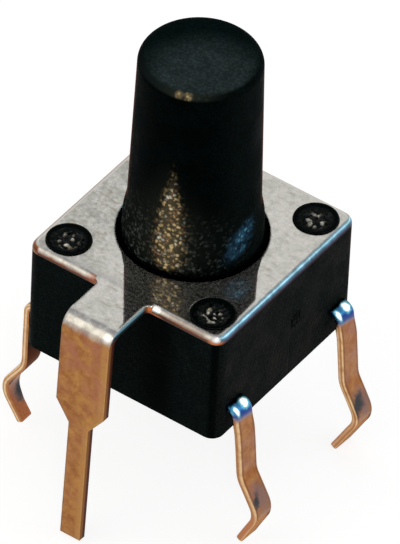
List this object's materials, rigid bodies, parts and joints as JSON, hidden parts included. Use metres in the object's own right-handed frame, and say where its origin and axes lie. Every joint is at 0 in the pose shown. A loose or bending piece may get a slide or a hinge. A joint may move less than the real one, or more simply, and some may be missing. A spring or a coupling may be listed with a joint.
{
  "type": "tactile push button switch",
  "caption": "Small square through-hole tactile switch with a tall round plunger, a riveted metal cover with a folded ground terminal, and kinked snap-in legs.",
  "frame": {"origin": "middle of the housing's underside, on the board's surface", "axes": "+Z from the board out along the plunger; the legs leave towards +X and -X, the ground terminal towards -Y"},
  "size_m": [0.0082, 0.008, 0.0132],
  "materials": {
    "housing_plastic": "matt moulded, fine grain",
    "plunger_plastic": "matt moulded, fine grain",
    "cover_metal": "bright plated sheet, lightly mottled",
    "dome_steel": "bright spring sheet",
    "terminal_metal": "dull copper-coloured sheet"
  },
  "bodies": {
    "base": {"housing": "housing_plastic", "cover": "cover_metal", "snap_dome": "dome_steel", "terminal_strip_front": "terminal_metal", "terminal_strip_rear": "terminal_metal"},
    "plunger": {"plunger": "plunger_plastic"}
  },
  "joints": [
    {"name": "plunger_press", "type": "slide", "parent": "base", "child": "plunger", "axis": [0, 0, -1], "range_m": [0, 0.00025], "stiffness_N_per_m": 6400, "deforming": ["snap_dome"]}
  ]
}
